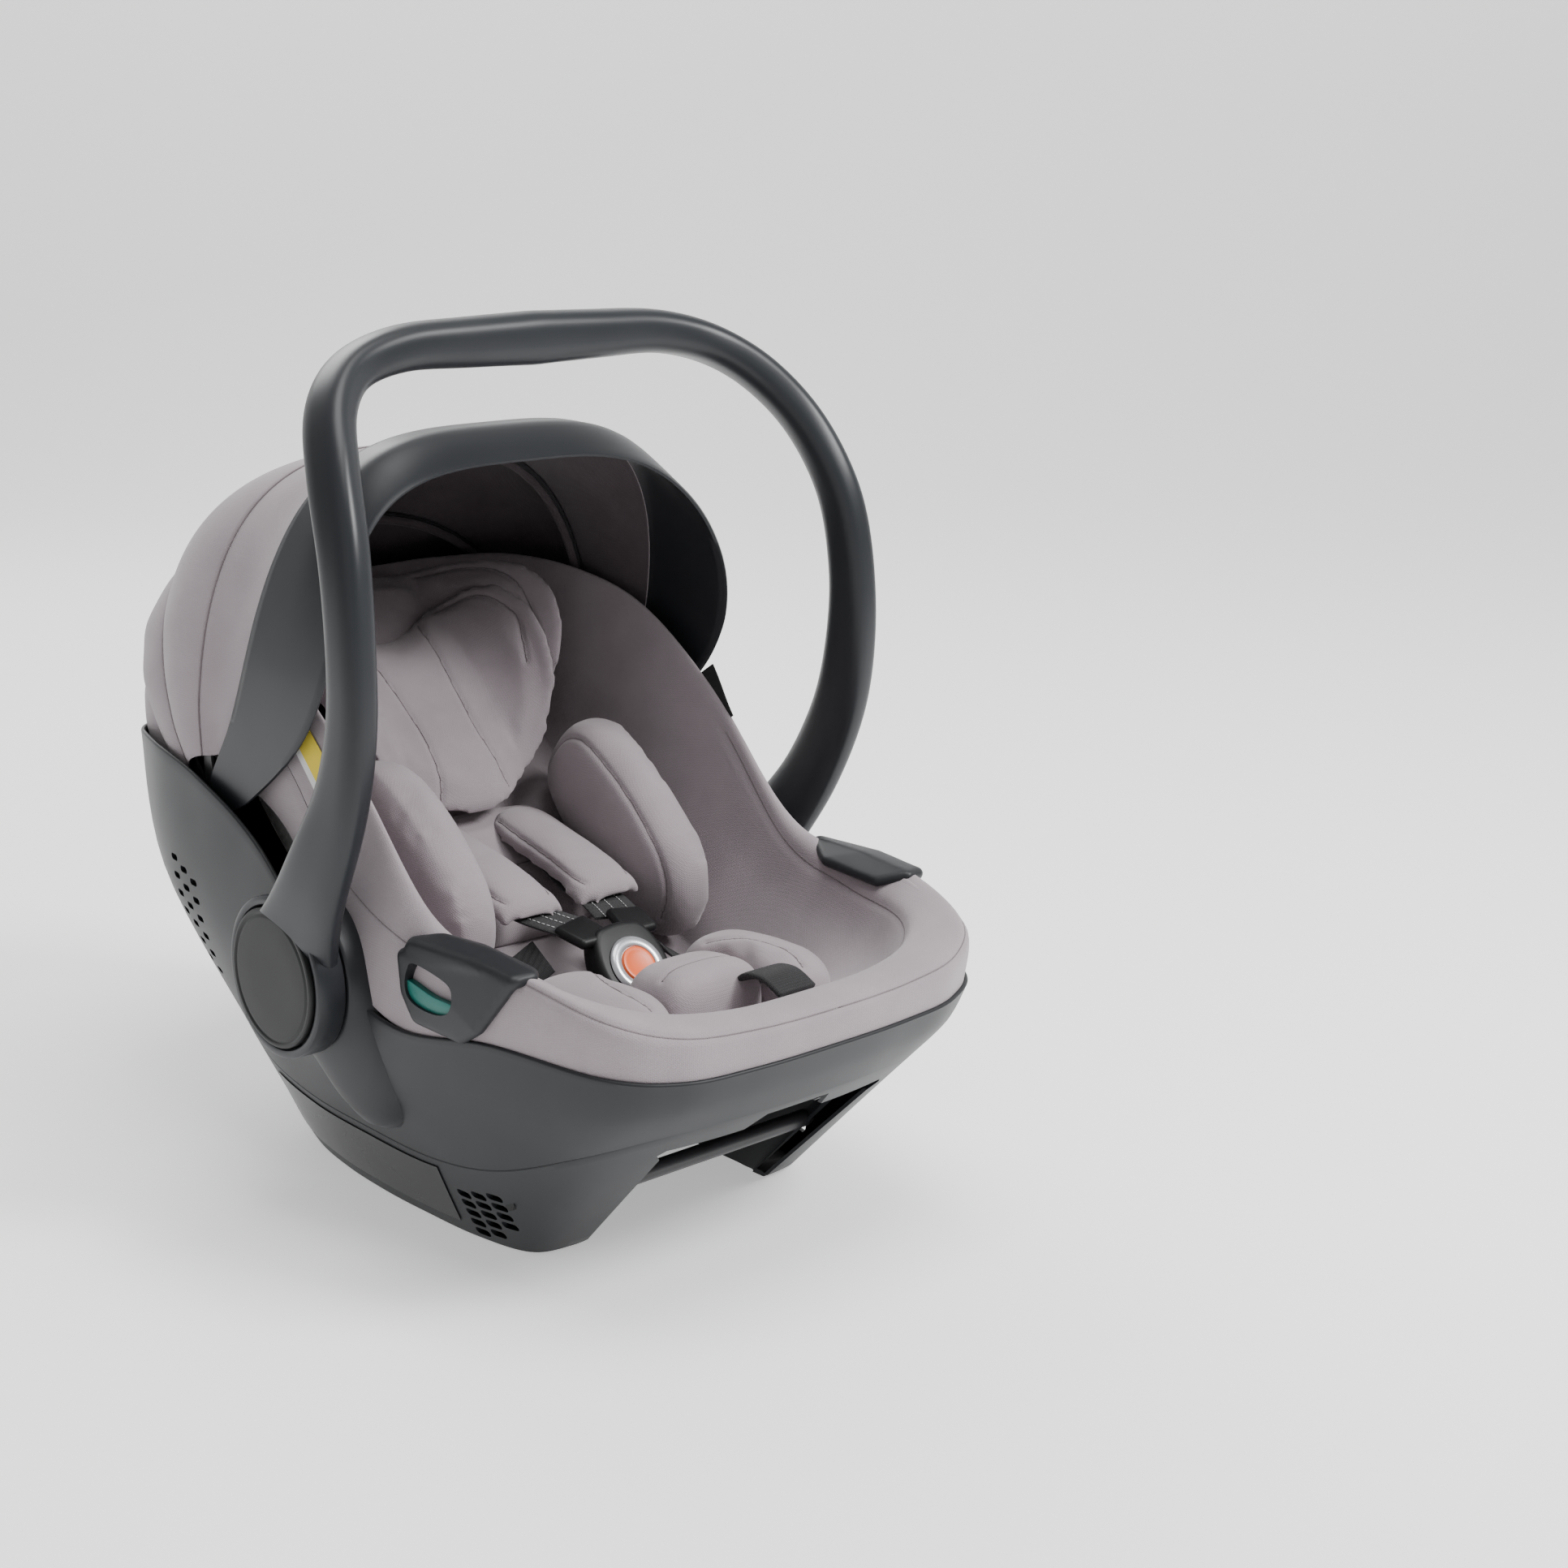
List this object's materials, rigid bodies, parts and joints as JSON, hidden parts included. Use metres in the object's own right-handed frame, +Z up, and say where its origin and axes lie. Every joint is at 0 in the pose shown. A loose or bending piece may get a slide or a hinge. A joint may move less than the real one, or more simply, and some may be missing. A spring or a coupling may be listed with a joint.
{
  "type": "infant car seat",
  "caption": "Rear-facing infant carrier seat with a turning carry handle, a folding fabric canopy, a padded bucket with headrest and harness, and belt guides",
  "frame": {"origin": "on the floor, under the middle of the bounding box", "axes": "X is the width, +X the right side seen from the foot end; -Y is the foot end and +Y the head end; +Z is up"},
  "size_m": [0.462, 0.6732, 0.5981],
  "materials": {
    "shell_plastic": "dark slate-grey moulded polypropylene, fine satin texture",
    "handle_plastic": "dark grey satin moulded plastic",
    "black_plastic": "black moulded plastic",
    "foam": "white expanded polystyrene foam",
    "cover_fabric": "mauve-taupe woven polyester over foam wadding",
    "canopy_fabric": "mauve-taupe woven polyester",
    "black_steel": "black powder-coated steel",
    "bright_steel": "zinc-plated steel",
    "green_plastic": "green moulded plastic",
    "webbing": "black polyester harness webbing",
    "bezel": "silver-grey plated plastic",
    "button_orange": "orange-red moulded plastic",
    "tag": "black sewn tag, left blank"
  },
  "bodies": {
    "root": {"outer_shell": "shell_plastic", "base_skirt": "shell_plastic", "foam_liner": "foam", "seat_cover": "cover_fabric", "front_cross_bar": "black_steel", "rear_cross_bar": "black_steel", "latch_bracket": "black_steel", "skirt_screws": "bright_steel", "vent_plug_left": "black_plastic", "vent_plug_right": "black_plastic", "hub_boss_left": "shell_plastic", "hub_boss_right": "shell_plastic", "hub_axle_left": "bright_steel", "hub_axle_right": "bright_steel", "lock_plate_left": "bright_steel", "lock_plate_right": "bright_steel", "cap_spring_left": "bright_steel", "cap_spring_right": "bright_steel", "belt_guide_left": "shell_plastic", "belt_guide_right": "shell_plastic", "guide_insert_left": "green_plastic", "guide_insert_right": "green_plastic", "canopy_pivot_left": "handle_plastic", "canopy_pivot_right": "handle_plastic", "canopy_panel_tail": "canopy_fabric", "newborn_insert": "cover_fabric", "bolster_left": "cover_fabric", "bolster_right": "cover_fabric", "leg_pad_left": "cover_fabric", "leg_pad_right": "cover_fabric", "shoulder_pad_left": "cover_fabric", "shoulder_pad_right": "cover_fabric", "shoulder_strap_left": "webbing", "shoulder_strap_right": "webbing", "tongue_left": "black_plastic", "tongue_right": "black_plastic", "lap_strap_left": "webbing", "lap_strap_right": "webbing", "buckle_body": "black_plastic", "buckle_bezel": "bezel", "crotch_pad": "cover_fabric", "crotch_strap": "webbing", "adjuster_housing": "black_plastic", "adjuster_strap": "webbing", "side_tag": "tag"},
    "handle": {"handle": "handle_plastic"},
    "hub_cap_left": {"hub_cap_left": "black_plastic"},
    "hub_cap_right": {"hub_cap_right": "black_plastic"},
    "rib_rear": {"canopy_rib_rear": "black_steel", "canopy_panel_rear": "canopy_fabric"},
    "rib_front": {"canopy_rib_front": "black_steel", "canopy_panel_middle": "canopy_fabric"},
    "rim": {"canopy_rim": "handle_plastic", "canopy_panel_front": "canopy_fabric"},
    "headrest": {"headrest_shell": "shell_plastic", "headrest_pad": "cover_fabric", "head_insert": "cover_fabric"},
    "buckle_button": {"buckle_button": "button_orange"},
    "adjuster_lever": {"adjuster_lever": "bright_steel"}
  },
  "joints": [
    {"name": "handle_turn", "type": "hinge", "parent": "root", "child": "handle", "pos_m": [0, -0.0325, 0.176], "axis": [1, 0, 0], "range_deg": [-110, 90]},
    {"name": "cap_left_press", "type": "slide", "parent": "handle", "child": "hub_cap_left", "axis": [1, 0, 0], "range_m": [0, 0.0025], "stiffness_N_per_m": 4000},
    {"name": "cap_right_press", "type": "slide", "parent": "handle", "child": "hub_cap_right", "axis": [-1, 0, 0], "range_m": [0, 0.0025], "stiffness_N_per_m": 4000},
    {"name": "canopy_fold", "type": "hinge", "parent": "root", "child": "rib_rear", "pos_m": [0, 0.1175, 0.24], "axis": [-1, 0, 0], "range_deg": [0, 21], "deforming": ["canopy_panel_rear"]},
    {"name": "canopy_fold_front", "type": "hinge", "parent": "rib_rear", "child": "rib_front", "pos_m": [0, 0.1175, 0.24], "axis": [-1, 0, 0], "range_deg": [0, 21], "deforming": ["canopy_panel_middle"]},
    {"name": "canopy_fold_rim", "type": "hinge", "parent": "rib_front", "child": "rim", "pos_m": [0, 0.1175, 0.24], "axis": [-1, 0, 0], "range_deg": [0, 21], "deforming": ["canopy_panel_front"]},
    {"name": "headrest_slide", "type": "slide", "parent": "root", "child": "headrest", "axis": [0, 0.766, 0.6428], "range_m": [0, 0.03]},
    {"name": "buckle_press", "type": "slide", "parent": "root", "child": "buckle_button", "axis": [0, 0.766, -0.6428], "range_m": [0, 0.0025], "stiffness_N_per_m": 2000},
    {"name": "adjuster_press", "type": "hinge", "parent": "root", "child": "adjuster_lever", "pos_m": [0, -0.18735, 0.1138], "axis": [1, 0, 0], "range_deg": [0, 8], "stiffness_Nm_per_rad": 0.8}
  ],
  "couplings": [
    {"joint": "canopy_fold_front", "follows": "canopy_fold", "ratio": 1},
    {"joint": "canopy_fold_rim", "follows": "canopy_fold", "ratio": 1}
  ]
}
